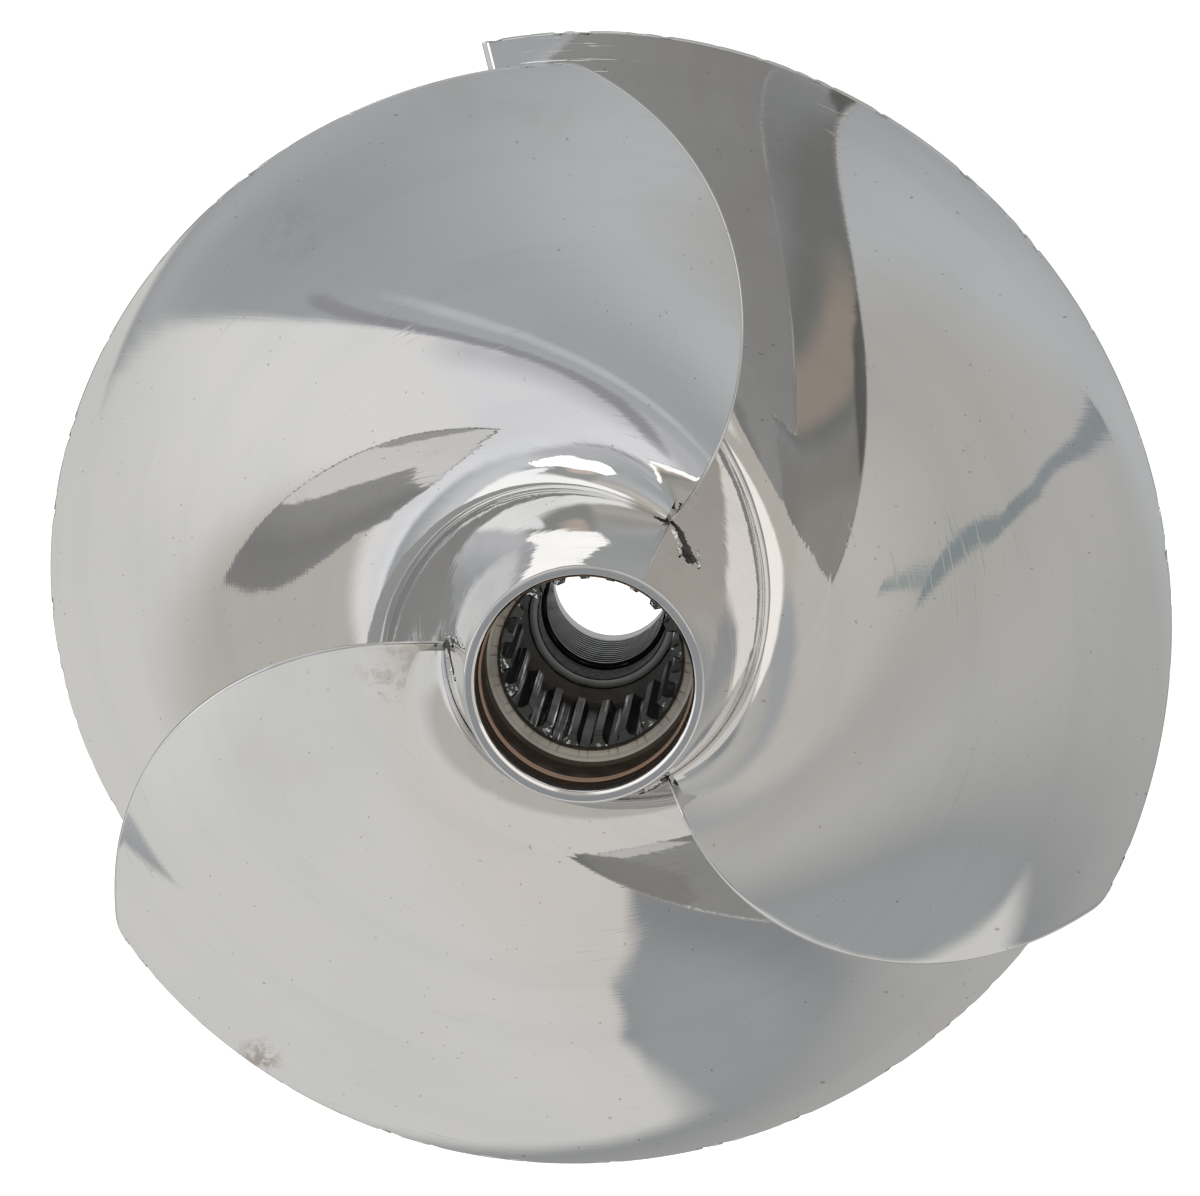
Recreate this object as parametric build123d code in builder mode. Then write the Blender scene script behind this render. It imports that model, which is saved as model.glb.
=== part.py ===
from build123d import *
import math
import os

# Jet-pump impeller: three swirl blades on a flared hub, bored for a splined drive shaft at the
# nose and a threaded pump shaft at the rear. Millimetres. Z is the shaft axis, the nose (intake
# end) is up, and the origin is on the axis in the plane of the hub's rear rim.

# ---- driving dimensions ----
BLADE_COUNT = 3
TIP_RADIUS = 78.0
NOSE_HEIGHT = 85.5

# hub: outer profile radii from the nose down to the rear rim
NOSE_RADIUS = 15.8
NECK_RADIUS, NECK_HEIGHT = 20.3, 58.7
WAIST_RADIUS, WAIST_HEIGHT = 24.7, 40.0
FLARE_RADIUS, FLARE_HEIGHT = 32.4, 21.0
REAR_RADIUS = 41.5
NOSE_EDGE_RADIUS = 0.35

# hub: stepped bore
LIP_RADIUS, LIP_LENGTH = 14.35, 1.4
LIP_CHAMFER = 0.4
GROOVE_RADIUS, GROOVE_LENGTH = 15.25, 4.2
SOCKET_RADIUS = 14.9
BOSS_RADIUS, BOSS_REAR = 18.0, 4.4

# hub: hollow between the rear boss and the bell
BELL_WALL = 4.2
HOLLOW_TOP = 36.0
HOLLOW_TOP_RADIUS = 22.2
HOLLOW_CORNER = 1.8

# blade: leading edge as a function of q, which is 0 at the root and 1 at the tip
ROOT_RADIUS = 21.0
LEADING_ANGLE = (58.5, -15.4, 100.7, -105.5, 53.8)
LEADING_HEIGHT = (58.7, 37.3, -89.4, 43.6)
TRAILING_ANGLE = 223.9
TRAILING_HEIGHT = 1.8
ENTRY_SHARE = 0.54
TIP_CORNER = 7.0

# blade: thickness measured along Z
EDGE_THICKNESS = 1.0
ROOT_THICKNESS = 4.6
TIP_THICKNESS = 2.2

# blade: grid that its two faces are drawn through
PATCH_INNER = 15.0
PATCH_REACH = 100.0
PATCH_ROWS, PATCH_COLUMNS = 14, 26

# weld fillet along each blade root; on the front it runs further out along the blade
WELD_LEG = 5.5
WELD_END_LEG = 2.5
WELD_FRONT_SPREAD = 1.6
WELD_BURY = 0.4
WELD_HOLLOW = 0.36
WELD_STATIONS = 13
WELD_START, WELD_END = 63.0, 220.0

# splined sleeve
SPLINE_TEETH = 20
SPLINE_PHASE = 4.5
SPLINE_ROOT_RADIUS = 12.1
SPLINE_TIP_RADIUS = 10.65
SPLINE_BOTTOM = 40.5
TOOTH_TIP_WIDTH = 1.1
TOOTH_ROOT_WIDTH = 2.5
SLEEVE_TOP = 67.6
SLEEVE_SHOULDER = 1.0
FACE_OUTER_RADIUS = 13.9
FACE_INNER_RADIUS, FACE_INNER_HEIGHT = 12.55, 66.9
TOOTH_TOP = 66.2
RELIEF_RADIUS = 12.9

# stop ring and threaded sleeve
STOP_TOP = 35.5
STOP_OUTER_RADIUS = 10.3
STOP_BORE_RADIUS = 8.85
STOP_FLANGE_TOP = 32.0
THREAD_TOP, THREAD_BOTTOM = 28.6, 9.7
THREAD_MINOR_RADIUS = 8.19
UNDERCUT_RADIUS, UNDERCUT_BOTTOM = 9.15, 9.0
PILOT_RADIUS = 8.3
REAR_CHAMFER = 0.6

# rings behind the mouth's lip
O_RING_INNER_RADIUS = 14.5
BRONZE_BOTTOM = 76.4
BRONZE_END_RADIUS, BRONZE_CREST_RADIUS = 14.45, 13.95
CARRIER_BOTTOM = 69.0
CARRIER_INNER_RADIUS = 14.2


# ---- blade surface ----
def polynomial(coefficients, q):
    return sum(c * q**power for power, c in enumerate(coefficients))


def span_fraction(radius):
    return (radius - ROOT_RADIUS) / (TIP_RADIUS - ROOT_RADIUS)


def leading_angle(radius):
    """Angle of the leading edge about Z, in degrees, for the first blade."""
    return polynomial(LEADING_ANGLE, span_fraction(radius))


def front_height(radius, chord):
    """Height of the blade's front face; chord is 0 at the leading and 1 at the trailing edge."""
    top = polynomial(LEADING_HEIGHT, span_fraction(radius))
    fall = ENTRY_SHARE * chord + (1 - ENTRY_SHARE) * chord**2
    return top + (TRAILING_HEIGHT - top) * fall


def thickness(radius, chord):
    """Thin edges, full thickness in the middle of the chord, thicker at the root than the tip."""
    full = ROOT_THICKNESS + (TIP_THICKNESS - ROOT_THICKNESS) * span_fraction(radius)
    return EDGE_THICKNESS + (full - EDGE_THICKNESS) * (1 - (2 * chord - 1) ** 4)


def on_circle(radius, angle, height):
    turn = math.radians(angle)
    return Vector(radius * math.cos(turn), radius * math.sin(turn), height)


def face_height(radius, chord, depth):
    """Height of the front face at depth 0, or of the back face at depth 1."""
    return front_height(radius, chord) - depth * thickness(radius, chord)


def blade_face(depth, margin):
    """The whole front or back surface; margin is how far it outreaches the trimmed blade."""
    low, high = PATCH_INNER - margin, TIP_RADIUS + margin
    early, late = -margin / PATCH_REACH, 1 + margin / PATCH_REACH
    radii = [low + (high - low) * i / (PATCH_ROWS - 1) for i in range(PATCH_ROWS)]
    chords = [early + (late - early) * j / (PATCH_COLUMNS - 1) for j in range(PATCH_COLUMNS)]
    grid = []
    for radius in radii:
        start = leading_angle(radius)
        angles = [start + (TRAILING_ANGLE - start) * chord for chord in chords]
        heights = [face_height(radius, chord, depth) for chord in chords]
        grid.append([on_circle(radius, a, h) for a, h in zip(angles, heights)])
    return Face.make_surface_from_array_of_points(grid, tol=0.005, min_deg=3, max_deg=5)


def outline_face(points):
    """A closed outline of (radius, height) points on the meridional plane."""
    with BuildSketch(Plane.XZ) as outline:
        with BuildLine():
            Polyline(*points, close=True)
        make_face()
    return outline.sketch


def finish_node(part, name):
    """Label a finished piece and write its STEP file."""
    part.label = name
    export_step(part, f"parts/{name}.step")


os.makedirs("parts", exist_ok=True)

# ---- hub ----
HUB_OUTLINE = [
    (NOSE_RADIUS, NOSE_HEIGHT),
    (NECK_RADIUS, NECK_HEIGHT),
    (WAIST_RADIUS, WAIST_HEIGHT),
    (FLARE_RADIUS, FLARE_HEIGHT),
    (REAR_RADIUS, 0.0),
]
LIP_BOTTOM = NOSE_HEIGHT - LIP_LENGTH
GROOVE_BOTTOM = LIP_BOTTOM - GROOVE_LENGTH

# the hub's outer shape as a full solid, which also trims the blades and welds
with BuildPart() as hub_envelope:
    with BuildSketch(Plane.XZ):
        with BuildLine():
            Spline(*HUB_OUTLINE)
            Polyline((REAR_RADIUS, 0), (0, 0), (0, NOSE_HEIGHT), (NOSE_RADIUS, NOSE_HEIGHT))
        make_face()
    revolve(axis=Axis.Z)

with BuildPart() as hub_shell:
    add(hub_envelope.part)
    nose_edge = hub_shell.edges().filter_by(GeomType.CIRCLE).sort_by(Axis.Z)[-1]
    fillet(nose_edge, radius=NOSE_EDGE_RADIUS)
    # stepped bore for the rings and sleeves
    bore_outline = outline_face(
        [
            (0, NOSE_HEIGHT + 1),
            (LIP_RADIUS + LIP_CHAMFER + 1, NOSE_HEIGHT + 1),
            (LIP_RADIUS, NOSE_HEIGHT - LIP_CHAMFER),
            (LIP_RADIUS, LIP_BOTTOM),
            (GROOVE_RADIUS, LIP_BOTTOM),
            (GROOVE_RADIUS, GROOVE_BOTTOM),
            (SOCKET_RADIUS, GROOVE_BOTTOM),
            (SOCKET_RADIUS, -1),
            (0, -1),
        ]
    )
    revolve(bore_outline, axis=Axis.Z, mode=Mode.SUBTRACT)
    # annular hollow, open at the rear: its outer wall follows the bell
    with BuildSketch(Plane.XZ):
        with BuildLine():
            Spline(
                (REAR_RADIUS - BELL_WALL + 0.4, -1),
                (FLARE_RADIUS - BELL_WALL, FLARE_HEIGHT),
                (HOLLOW_TOP_RADIUS, HOLLOW_TOP),
            )
            Polyline(
                (HOLLOW_TOP_RADIUS, HOLLOW_TOP),
                (BOSS_RADIUS, HOLLOW_TOP),
                (BOSS_RADIUS, BOSS_REAR),
                (SOCKET_RADIUS - 1, BOSS_REAR),
                (SOCKET_RADIUS - 1, -1),
                (REAR_RADIUS - BELL_WALL + 0.4, -1),
            )
        make_face()
    revolve(axis=Axis.Z, mode=Mode.SUBTRACT)
    roof = hub_shell.edges().filter_by(GeomType.CIRCLE)
    roof = roof.filter_by_position(Axis.Z, HOLLOW_TOP - 0.1, HOLLOW_TOP + 0.1)
    fillet(roof, radius=HOLLOW_CORNER)
finish_node(hub_shell.part, "hub_shell")

# ---- blades ----
front = blade_face(0, 2.0)
back = blade_face(1, 3.0)

with BuildPart() as first_blade:
    extrude(front, amount=NOSE_HEIGHT, dir=(0, 0, -1))
    extrude(back, amount=NOSE_HEIGHT, dir=(0, 0, 1), mode=Mode.INTERSECT)
    # plan outline: leading curve, tip circle, trailing line and an arc inside the hub
    leading_radii = [PATCH_INNER + (TIP_RADIUS - PATCH_INNER) * i / 9 for i in range(10)]
    leading_points = [on_circle(radius, leading_angle(radius), 0) for radius in leading_radii]
    tip_start = leading_angle(TIP_RADIUS)
    root_start = leading_angle(PATCH_INNER)
    with BuildSketch(Plane.XY.offset(-5)) as plan:
        with BuildLine():
            Spline(*leading_points)
            CenterArc((0, 0), TIP_RADIUS, tip_start, TRAILING_ANGLE - tip_start)
            trailing_tip = on_circle(TIP_RADIUS, TRAILING_ANGLE, 0)
            Line(trailing_tip, on_circle(PATCH_INNER, TRAILING_ANGLE, 0))
            CenterArc((0, 0), PATCH_INNER, root_start, TRAILING_ANGLE - root_start)
        make_face()
        corner = plan.vertices().sort_by_distance(leading_points[-1])[0]
        fillet(corner, radius=TIP_CORNER)
    extrude(amount=NOSE_HEIGHT + 10, mode=Mode.INTERSECT)
    add(hub_envelope.part, mode=Mode.SUBTRACT)


# ---- weld fillets ----
hub_curve = Spline(*HUB_OUTLINE)
hub_samples = [hub_curve @ (i / 200) for i in range(201)]


def hub_radius(height):
    """Outer radius of the hub at a height, between close samples of its outline."""
    for upper, lower in zip(hub_samples, hub_samples[1:]):
        if lower.Y <= height:
            share = (upper.Y - height) / (upper.Y - lower.Y)
            return upper.X + (lower.X - upper.X) * share
    return REAR_RADIUS


def blade_height_at(radius, angle, depth):
    start = leading_angle(radius)
    return face_height(radius, (angle - start) / (TRAILING_ANGLE - start), depth)


def root_radius_at(angle, depth):
    """Radius at which a blade face meets the hub, found by halving."""
    low, high = NOSE_RADIUS, REAR_RADIUS
    for _ in range(30):
        middle = (low + high) / 2
        if middle < hub_radius(blade_height_at(middle, angle, depth)):
            low = middle
        else:
            high = middle
    return high


def weld_section(angle, depth):
    """Three-sided section of the fillet on a plane through the axis, hollow towards the water."""
    radius = root_radius_at(angle, depth)
    height = blade_height_at(radius, angle, depth)
    side = 1 if depth == 0 else -1
    middle = (WELD_START + WELD_END) / 2
    reach = (angle - middle) / (WELD_END - middle)
    leg = WELD_END_LEG + (WELD_LEG - WELD_END_LEG) * (1 - reach**4)
    hub_step = hub_radius(height + side) - hub_radius(height)
    along_hub = Vector(hub_step, side).normalized() * leg
    blade_step = blade_height_at(radius + 1, angle, depth) - height
    spread = WELD_FRONT_SPREAD if depth == 0 else 1
    along_blade = Vector(1, blade_step).normalized() * leg * spread
    hub_end = along_hub + Vector(-WELD_BURY, 0)
    blade_end = along_blade + Vector(0, -side * WELD_BURY)
    hollow = (along_hub + along_blade) * WELD_HOLLOW
    outward = on_circle(1, angle, 0)
    plane = Plane(
        origin=on_circle(radius, angle, height),
        x_dir=outward,
        z_dir=outward.cross(Vector(0, 0, 1)),
    )
    with BuildSketch(plane) as section:
        with BuildLine():
            Polyline(blade_end, Vector(-WELD_BURY, -side * WELD_BURY), hub_end)
            ThreePointArc(hub_end, hollow, blade_end)
        make_face()
    return section.sketch


weld_angles = [
    WELD_START + (WELD_END - WELD_START) * i / (WELD_STATIONS - 1) for i in range(WELD_STATIONS)
]
with BuildPart() as first_weld:
    for depth in (0, 1):
        loft([weld_section(angle, depth) for angle in weld_angles])
    add(hub_envelope.part, mode=Mode.SUBTRACT)
    add(first_blade.part, mode=Mode.SUBTRACT)

for number in range(BLADE_COUNT):
    turn = 360 / BLADE_COUNT * number
    with BuildPart() as blade:
        with Locations(Rotation(0, 0, turn)):
            add(first_blade.part)
    finish_node(blade.part, f"blade_{number + 1}")
    with BuildPart() as root_weld:
        with Locations(Rotation(0, 0, turn)):
            add(first_weld.part)
    finish_node(root_weld.part, f"root_weld_{number + 1}")

# ---- rings behind the mouth's lip ----
with BuildPart() as mouth_o_ring:
    ring_outline = outline_face(
        [
            (GROOVE_RADIUS, LIP_BOTTOM),
            (GROOVE_RADIUS, GROOVE_BOTTOM),
            (O_RING_INNER_RADIUS, GROOVE_BOTTOM),
            (O_RING_INNER_RADIUS, LIP_BOTTOM),
        ]
    )
    revolve(ring_outline, axis=Axis.Z)
    inner_edges = mouth_o_ring.edges().filter_by(GeomType.CIRCLE).sort_by(SortBy.RADIUS)[:2]
    fillet(inner_edges, radius=0.3)
finish_node(mouth_o_ring.part, "mouth_o_ring")

with BuildPart() as bronze_ring:
    with BuildSketch(Plane.XZ):
        with BuildLine():
            ThreePointArc(
                (BRONZE_END_RADIUS, GROOVE_BOTTOM),
                (BRONZE_CREST_RADIUS, (GROOVE_BOTTOM + BRONZE_BOTTOM) / 2),
                (BRONZE_END_RADIUS, BRONZE_BOTTOM),
            )
            Polyline(
                (BRONZE_END_RADIUS, BRONZE_BOTTOM),
                (SOCKET_RADIUS, BRONZE_BOTTOM),
                (SOCKET_RADIUS, GROOVE_BOTTOM),
                (BRONZE_END_RADIUS, GROOVE_BOTTOM),
            )
        make_face()
    revolve(axis=Axis.Z)
finish_node(bronze_ring.part, "bronze_ring")

with BuildPart() as ring_carrier:
    carrier_outline = outline_face(
        [
            (SOCKET_RADIUS, BRONZE_BOTTOM),
            (SOCKET_RADIUS, CARRIER_BOTTOM),
            (CARRIER_INNER_RADIUS, CARRIER_BOTTOM),
            (CARRIER_INNER_RADIUS, BRONZE_BOTTOM),
        ]
    )
    revolve(carrier_outline, axis=Axis.Z)
finish_node(ring_carrier.part, "ring_carrier")

# ---- sleeves ----
with BuildPart() as splined_sleeve:
    sleeve_outline = outline_face(
        [
            (SOCKET_RADIUS, SLEEVE_TOP - SLEEVE_SHOULDER),
            (FACE_OUTER_RADIUS, SLEEVE_TOP),
            (FACE_INNER_RADIUS, FACE_INNER_HEIGHT),
            (SPLINE_ROOT_RADIUS, TOOTH_TOP),
            (SPLINE_ROOT_RADIUS, SPLINE_BOTTOM),
            (RELIEF_RADIUS, SPLINE_BOTTOM),
            (RELIEF_RADIUS, STOP_FLANGE_TOP),
            (SOCKET_RADIUS, STOP_FLANGE_TOP),
        ]
    )
    revolve(sleeve_outline, axis=Axis.Z)
    # straight-sided teeth, each rooted a little way into the wall
    root = SPLINE_ROOT_RADIUS + 0.2
    with BuildSketch(Plane.XY.offset(SPLINE_BOTTOM)):
        with PolarLocations(0, SPLINE_TEETH, start_angle=SPLINE_PHASE):
            Polygon(
                (SPLINE_TIP_RADIUS, -TOOTH_TIP_WIDTH / 2),
                (root, -TOOTH_ROOT_WIDTH / 2),
                (root, TOOTH_ROOT_WIDTH / 2),
                (SPLINE_TIP_RADIUS, TOOTH_TIP_WIDTH / 2),
                align=None,
            )
    extrude(amount=TOOTH_TOP - SPLINE_BOTTOM)
finish_node(splined_sleeve.part, "splined_sleeve")

with BuildPart() as stop_ring:
    stop_outline = outline_face(
        [
            (STOP_BORE_RADIUS, STOP_TOP),
            (STOP_BORE_RADIUS, THREAD_TOP),
            (SOCKET_RADIUS, THREAD_TOP),
            (SOCKET_RADIUS, STOP_FLANGE_TOP),
            (STOP_OUTER_RADIUS, STOP_FLANGE_TOP),
            (STOP_OUTER_RADIUS, STOP_TOP),
        ]
    )
    revolve(stop_outline, axis=Axis.Z)
finish_node(stop_ring.part, "stop_ring")

with BuildPart() as threaded_sleeve:
    threaded_outline = outline_face(
        [
            (SOCKET_RADIUS, THREAD_TOP),
            (THREAD_MINOR_RADIUS, THREAD_TOP),
            (THREAD_MINOR_RADIUS, THREAD_BOTTOM),
            (UNDERCUT_RADIUS, THREAD_BOTTOM),
            (UNDERCUT_RADIUS, UNDERCUT_BOTTOM),
            (PILOT_RADIUS, UNDERCUT_BOTTOM),
            (PILOT_RADIUS, BOSS_REAR + REAR_CHAMFER),
            (PILOT_RADIUS + REAR_CHAMFER, BOSS_REAR),
            (SOCKET_RADIUS, BOSS_REAR),
        ]
    )
    revolve(threaded_outline, axis=Axis.Z)
finish_node(threaded_sleeve.part, "threaded_sleeve")
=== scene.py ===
import math

import bmesh
import bpy
import numpy as np
from mathutils import Matrix, Vector


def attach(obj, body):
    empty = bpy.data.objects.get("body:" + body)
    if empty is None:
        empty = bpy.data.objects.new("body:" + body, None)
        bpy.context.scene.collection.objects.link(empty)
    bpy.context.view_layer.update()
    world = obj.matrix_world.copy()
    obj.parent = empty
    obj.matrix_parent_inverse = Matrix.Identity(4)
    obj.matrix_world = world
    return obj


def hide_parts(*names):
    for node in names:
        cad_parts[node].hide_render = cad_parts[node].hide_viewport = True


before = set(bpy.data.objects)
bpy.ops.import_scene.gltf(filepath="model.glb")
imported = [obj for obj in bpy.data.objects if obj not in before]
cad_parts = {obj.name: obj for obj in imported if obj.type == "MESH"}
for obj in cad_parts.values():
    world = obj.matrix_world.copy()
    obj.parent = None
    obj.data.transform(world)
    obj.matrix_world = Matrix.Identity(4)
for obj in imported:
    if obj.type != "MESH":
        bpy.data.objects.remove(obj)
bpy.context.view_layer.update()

# Lengths below are millimetres in the row frame, and meshes are written in metres.
MM = 0.001
BLADE_COUNT = 3
BLADE_TURN = 360.0 / BLADE_COUNT
TIP_RADIUS = 78.0
NOSE_HEIGHT = 85.5

# ---- hub outline and bore, as in the CAD ----
HUB_POINTS = ((15.8, 85.5), (20.3, 58.7), (24.7, 40.0), (32.4, 21.0), (41.5, 0.0))
BELL_POINTS = ((37.7, -1.0), (28.2, 21.0), (22.2, 36.0))

# the sleeves and rings stop a hair short of their socket and of each other
SOCKET_RADIUS = 14.9
SEAT_RADIUS = SOCKET_RADIUS - 0.02

# ---- blade surface, as in the CAD ----
ROOT_RADIUS = 21.0
LEADING_ANGLE = (58.5, -15.4, 100.7, -105.5, 53.8)
LEADING_HEIGHT = (58.7, 37.3, -89.4, 43.6)
TRAILING_ANGLE = 223.9
TRAILING_HEIGHT = 1.8
ENTRY_SHARE = 0.54
TIP_CORNER = 7.0
EDGE_THICKNESS = 1.0
ROOT_THICKNESS = 4.6
TIP_THICKNESS = 2.2

# ---- weld fillets ----
WELD_LEG = 5.5
WELD_END_LEG = 2.5
WELD_FRONT_SPREAD = 1.6
WELD_START, WELD_END = 63.0, 220.0


def polynomial(coefficients, q):
    return sum(c * q**power for power, c in enumerate(coefficients))


def span_fraction(radius):
    return (radius - ROOT_RADIUS) / (TIP_RADIUS - ROOT_RADIUS)


def leading_angle(radius):
    return polynomial(LEADING_ANGLE, span_fraction(radius))


def chord_fraction(radius, angle):
    start = leading_angle(radius)
    return (angle - start) / (TRAILING_ANGLE - start)


def front_height(radius, angle):
    chord = chord_fraction(radius, angle)
    top = polynomial(LEADING_HEIGHT, span_fraction(radius))
    fall = ENTRY_SHARE * chord + (1 - ENTRY_SHARE) * chord**2
    return top + (TRAILING_HEIGHT - top) * fall


def thickness(radius, angle):
    chord = chord_fraction(radius, angle)
    full = ROOT_THICKNESS + (TIP_THICKNESS - ROOT_THICKNESS) * span_fraction(radius)
    return EDGE_THICKNESS + (full - EDGE_THICKNESS) * (1 - (2 * chord - 1) ** 4)


def face_height(radius, angle, depth):
    return front_height(radius, angle) - depth * thickness(radius, angle)


def smooth_curve(points, count):
    """Cubic spline through the points by chord length, with end slopes from the first and last four."""
    p = np.array(points, float)
    t = np.concatenate(([0.0], np.cumsum(np.hypot(*np.diff(p, axis=0).T))))
    h = np.diff(t)
    d = np.diff(p, axis=0) / h[:, None]
    n = len(p)
    degree = min(3, n - 1)
    matrix = np.eye(n)
    right = np.zeros((n, 2))
    right[0] = np.polyfit(t[:4] - t[0], p[:4], degree)[-2]
    right[-1] = np.polyfit(t[-4:] - t[-1], p[-4:], degree)[-2]
    for i in range(1, n - 1):
        matrix[i, i - 1 : i + 2] = h[i], 2 * (h[i - 1] + h[i]), h[i - 1]
        right[i] = 3 * (h[i] * d[i - 1] + h[i - 1] * d[i])
    slopes = np.linalg.solve(matrix, right)
    s = np.linspace(0, t[-1], count)
    k = np.clip(np.searchsorted(t, s, side="right") - 1, 0, n - 2)
    u = ((s - t[k]) / h[k])[:, None]
    step = h[k][:, None]
    return (
        (1 + 2 * u) * (1 - u) ** 2 * p[k]
        + u * (1 - u) ** 2 * step * slopes[k]
        + u**2 * (3 - 2 * u) * p[k + 1]
        - u**2 * (1 - u) * step * slopes[k + 1]
    )


hub_curve = smooth_curve(HUB_POINTS, 400)


def hub_radius(height):
    return np.interp(height, hub_curve[::-1, 1], hub_curve[::-1, 0])


def on_circle(radius, angle, height):
    turn = np.radians(angle)
    return np.stack(np.broadcast_arrays(radius * np.cos(turn), radius * np.sin(turn), height), -1)


def root_radius_at(angle, depth):
    """Radius at which a blade face meets the hub, found by halving."""
    angle = np.asarray(angle, float)
    low = np.full(angle.shape, HUB_POINTS[0][0])
    high = np.full(angle.shape, HUB_POINTS[-1][0])
    for _ in range(40):
        middle = (low + high) / 2
        inside = middle < hub_radius(face_height(middle, angle, depth))
        low = np.where(inside, middle, low)
        high = np.where(inside, high, middle)
    return high


# ---- mesh helpers ----
def grid_faces(rows, columns, offset=0, wrap=False, flip=False):
    faces = []
    for i in range(rows - 1):
        for j in range(columns if wrap else columns - 1):
            k = (j + 1) % columns
            a, b = offset + i * columns + j, offset + i * columns + k
            c, d = offset + (i + 1) * columns + k, offset + (i + 1) * columns + j
            faces.append((a, d, c, b) if flip else (a, b, c, d))
    return faces


def add_piece(name, points, faces, material, replaced=(), turn=0.0, sharp=32.0, merge=False, uv=None):
    """A mesh from points in millimetres, riding on the part's one body."""
    spin = math.radians(turn)
    rotation = np.array(
        [[math.cos(spin), -math.sin(spin), 0], [math.sin(spin), math.cos(spin), 0], [0, 0, 1]]
    )
    co = np.asarray(points, float).reshape(-1, 3) @ rotation.T * MM
    mesh = bpy.data.meshes.new(name)
    mesh.from_pydata(co.tolist(), [], faces)
    if uv is not None:
        layer = mesh.uv_layers.new(name="grain")
        corner = np.zeros(len(mesh.loops), np.int32)
        mesh.loops.foreach_get("vertex_index", corner)
        layer.data.foreach_set("uv", (np.asarray(uv).reshape(-1, 2) * MM)[corner].astype(np.float32).ravel())
    work = bmesh.new()
    work.from_mesh(mesh)
    if merge:
        bmesh.ops.remove_doubles(work, verts=work.verts, dist=2e-6)
        bmesh.ops.dissolve_degenerate(work, edges=work.edges, dist=1e-7)
    bmesh.ops.recalc_face_normals(work, faces=work.faces)
    work.to_mesh(mesh)
    work.free()
    mesh.shade_smooth()
    mesh.set_sharp_from_angle(angle=math.radians(sharp))
    mesh.materials.append(material)
    piece = bpy.data.objects.new(name, mesh)
    bpy.context.scene.collection.objects.link(piece)
    weighted = piece.modifiers.new("weighted", "WEIGHTED_NORMAL")
    weighted.weight = 60
    weighted.keep_sharp = True
    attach(piece, "root")
    if replaced:
        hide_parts(*replaced)
    return piece


def softened(corners, segments=4):
    """Rounds an outline's corners; each corner is (radius, height, rounding)."""
    outline = []
    count = len(corners)
    for i, (r, z, size) in enumerate(corners):
        here = np.array((r, z))
        if size <= 0:
            outline.append(here)
            continue
        before = np.array(corners[i - 1][:2]) - here
        after = np.array(corners[(i + 1) % count][:2]) - here
        a = here + before / np.linalg.norm(before) * size
        b = here + after / np.linalg.norm(after) * size
        for k in range(segments + 1):
            s = k / segments
            outline.append((1 - s) ** 2 * a + 2 * s * (1 - s) * here + s**2 * b)
    return np.array(outline)


def revolved(name, outline, material, replaced=(), segments=256, sharp=32.0):
    """A ring swept round Z from a closed outline of (radius, height) points."""
    outline = np.asarray(outline, float)
    turns = np.arange(segments) * 360.0 / segments
    rings = [on_circle(r, turns, z) for r, z in outline]
    points = np.concatenate(rings + [rings[0]])
    faces = grid_faces(len(outline) + 1, segments, wrap=True)
    last = len(outline) * segments
    faces = [tuple(v - last if v >= last else v for v in face) for face in faces]
    return add_piece(name, points[:last], faces, material, replaced, sharp=sharp)


def reaches(piece, polygon):
    """Distances of a polygon's corners from the shaft axis, in metres."""
    return [piece.data.vertices[v].co.xy.length for v in polygon.vertices]


# ---- material helpers ----
class Graph:
    """Short calls for building a node tree."""

    def __init__(self, tree):
        self.tree = tree
        tree.nodes.clear()

    def put(self, kind, inputs=(), **settings):
        node = self.tree.nodes.new(kind)
        for key, value in settings.items():
            setattr(node, key, value)
        for key, value in dict(inputs).items():
            self.feed(node.inputs[key], value)
        return node

    def feed(self, socket, value):
        if isinstance(value, bpy.types.NodeSocket):
            self.tree.links.new(value, socket)
        else:
            socket.default_value = value

    def math(self, operation, *values, clamp=False):
        node = self.put("ShaderNodeMath", operation=operation, use_clamp=clamp)
        for socket, value in zip(node.inputs, values):
            self.feed(socket, value)
        return node.outputs[0]

    def ramp(self, value, low, high, to_low=0.0, to_high=1.0):
        """Smooth step of a value from one range to another."""
        node = self.put(
            "ShaderNodeMapRange",
            {0: value, 1: low, 2: high, 3: to_low, 4: to_high},
            interpolation_type="SMOOTHSTEP",
        )
        return node.outputs[0]

    def mix(self, share, first, second):
        node = self.put("ShaderNodeMix", data_type="RGBA")
        self.feed(node.inputs[0], share)
        self.feed(node.inputs[6], first)
        self.feed(node.inputs[7], second)
        return node.outputs[2]

    def noise(self, vector, scale, detail=2.0, roughness=0.5, distortion=0.0):
        inputs = {"Vector": vector, "Scale": scale, "Detail": detail, "Roughness": roughness}
        inputs["Distortion"] = distortion
        return self.put("ShaderNodeTexNoise", inputs).outputs["Fac"]

    def stretched(self, vector, scale, turn=(0.0, 0.0, 0.0)):
        node = self.put("ShaderNodeMapping", {"Vector": vector, "Rotation": turn, "Scale": scale})
        return node.outputs[0]


def rgb(r, g, b):
    return (r, g, b, 1.0)


def new_material(name):
    material = bpy.data.materials.new(name)
    material.use_nodes = True
    return material, Graph(material.node_tree)


def close_metal(graph, color, roughness, height=None, bump=0.1, distance=0.0001, metallic=1.0, shine=0.5):
    shader = graph.put(
        "ShaderNodeBsdfPrincipled",
        {"Base Color": color, "Roughness": roughness, "Metallic": metallic, "Specular IOR Level": shine},
    )
    if height is not None:
        normal = graph.put("ShaderNodeBump", {"Strength": bump, "Distance": distance, "Height": height})
        graph.feed(shader.inputs["Normal"], normal.outputs[0])
    output = graph.put("ShaderNodeOutputMaterial")
    graph.feed(output.inputs["Surface"], shader.outputs[0])


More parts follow.
